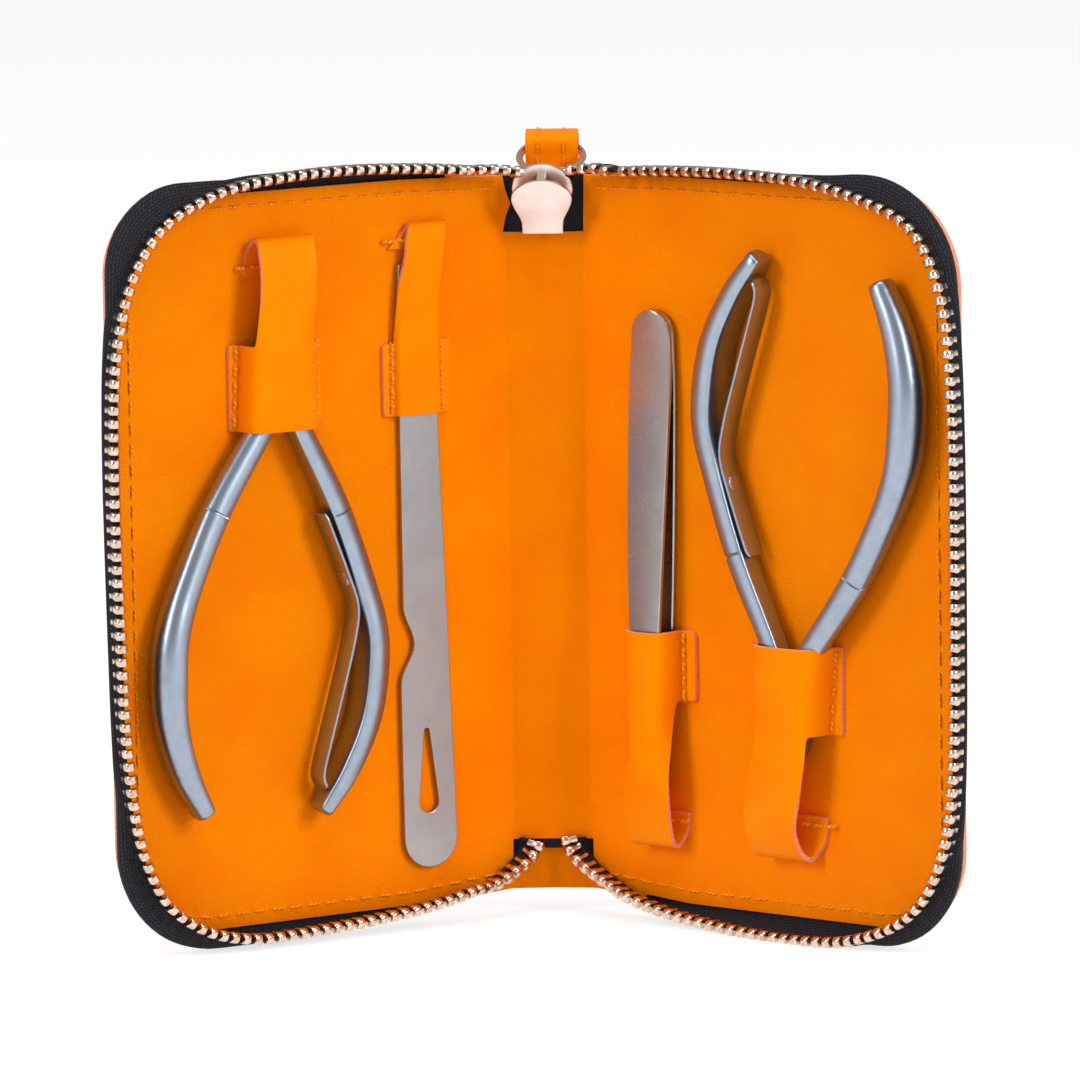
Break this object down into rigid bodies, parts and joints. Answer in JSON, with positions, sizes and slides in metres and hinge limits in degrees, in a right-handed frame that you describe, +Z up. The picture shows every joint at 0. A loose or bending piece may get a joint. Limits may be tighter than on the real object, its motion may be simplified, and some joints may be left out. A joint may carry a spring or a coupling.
{
  "type": "manicure set case",
  "caption": "Open zipped leather manicure case standing on edge, with two nippers, a nail file and tweezers held in leather loops.",
  "frame": {"origin": "centre of the spine's flat back face, half way up", "axes": "+Z up along the folds, +X to the viewer's right across the open case, +Y out of the spine's back"},
  "size_m": [0.165, 0.069, 0.1542],
  "materials": {
    "case_leather": "smooth full-grain",
    "lining_leather": "smooth matt",
    "pocket_leather": "smooth matt with raw edges",
    "tab_leather": "smooth",
    "board": "pressed fibre board",
    "zip_tape": "woven",
    "zip_metal": "nickel-brass, bright",
    "slider_metal": "polished nickel",
    "satin_steel": "satin"
  },
  "bodies": {
    "spine": {"slider_bail": "slider_metal", "slider_body": "slider_metal", "spine_board": "board", "spine_lining": "lining_leather", "spine_outer": "case_leather", "spine_tape_bottom": "zip_tape", "spine_tape_top": "zip_tape", "zip_end_strip": "zip_tape"},
    "left_cover": {"file_pocket": "pocket_leather", "left_board": "board", "left_bottom_turn_tape": "zip_tape", "left_bottom_turn_teeth": "zip_metal", "left_lining": "lining_leather", "left_nipper_pocket": "pocket_leather", "left_outer": "case_leather", "left_top_turn_tape": "zip_tape", "left_top_turn_teeth": "zip_metal", "left_zip_tape": "zip_tape", "left_zip_teeth": "zip_metal"},
    "right_cover": {"right_board": "board", "right_bottom_turn_tape": "zip_tape", "right_bottom_turn_teeth": "zip_metal", "right_lining": "lining_leather", "right_nipper_pocket": "pocket_leather", "right_outer": "case_leather", "right_top_turn_tape": "zip_tape", "right_top_turn_teeth": "zip_metal", "right_zip_tape": "zip_tape", "right_zip_teeth": "zip_metal", "tweezer_pocket": "pocket_leather"},
    "left_nipper": {"left_nipper_handle_a": "satin_steel", "left_nipper_pivot": "satin_steel", "left_nipper_leaf_spring": "satin_steel", "left_nipper_spring_screw": "satin_steel"},
    "left_nipper_far": {"left_nipper_handle_b": "satin_steel"},
    "right_nipper": {"right_nipper_handle_a": "satin_steel", "right_nipper_pivot": "satin_steel", "right_nipper_leaf_spring": "satin_steel", "right_nipper_spring_screw": "satin_steel"},
    "right_nipper_far": {"right_nipper_handle_b": "satin_steel"},
    "file": {"nail_file": "satin_steel"},
    "tweezers": {"tweezers_back_arm": "satin_steel"},
    "tweezers_front": {"tweezers_front_arm": "satin_steel"},
    "ring": {"pull_ring": "slider_metal"},
    "tab": {"pull_tab": "tab_leather"}
  },
  "joints": [
    {"name": "left_fold", "type": "hinge", "parent": "spine", "child": "left_cover", "pos_m": [-0.0082, -0.00135, 0], "axis": [0, 0, 1], "range_deg": [0, 55.7], "deforming": ["left_top_turn_tape", "left_top_turn_teeth", "left_bottom_turn_tape", "left_bottom_turn_teeth"]},
    {"name": "right_fold", "type": "hinge", "parent": "spine", "child": "right_cover", "pos_m": [0.0082, -0.00135, 0], "axis": [0, 0, -1], "range_deg": [0, 55.7], "deforming": ["right_top_turn_tape", "right_top_turn_teeth", "right_bottom_turn_tape", "right_bottom_turn_teeth"]},
    {"name": "left_nipper_slide", "type": "slide", "parent": "left_cover", "child": "left_nipper", "axis": [0, 0, -1], "range_m": [0, 0.018]},
    {"name": "file_slide", "type": "slide", "parent": "left_cover", "child": "file", "axis": [0, 0, -1], "range_m": [0, 0.007]},
    {"name": "right_nipper_slide", "type": "slide", "parent": "right_cover", "child": "right_nipper", "axis": [0, 0, 1], "range_m": [0, 0.011]},
    {"name": "tweezers_slide", "type": "slide", "parent": "right_cover", "child": "tweezers", "axis": [0, 0, 1], "range_m": [0, 0.022]},
    {"name": "left_nipper_squeeze", "type": "hinge", "parent": "left_nipper", "child": "left_nipper_far", "pos_m": [-0.04919, -0.03567, 0.0346], "axis": [0.5635, -0.8261, 0], "range_deg": [0, 7], "stiffness_Nm_per_rad": 0.05, "springref_deg": -28.65},
    {"name": "right_nipper_squeeze", "type": "hinge", "parent": "right_nipper", "child": "right_nipper_far", "pos_m": [0.04762, -0.0346, -0.027], "axis": [-0.5635, -0.8261, 0], "range_deg": [0, 7], "stiffness_Nm_per_rad": 0.05, "springref_deg": -28.65},
    {"name": "tweezers_squeeze", "type": "hinge", "parent": "tweezers", "child": "tweezers_front", "pos_m": [0.02152, -0.01377, 0.038], "axis": [0.8261, -0.5635, 0], "range_deg": [0, 1.4], "stiffness_Nm_per_rad": 0.5, "springref_deg": -5.73},
    {"name": "ring_swivel", "type": "hinge", "parent": "spine", "child": "ring", "pos_m": [0.0015, -0.00545, 0.0711], "axis": [1, 0, 0], "range_deg": [0, 88]},
    {"name": "tab_swivel", "type": "hinge", "parent": "ring", "child": "tab", "pos_m": [0.0015, 0.00428, 0.07543], "axis": [1, 0, 0], "range_deg": [0, 150]}
  ]
}
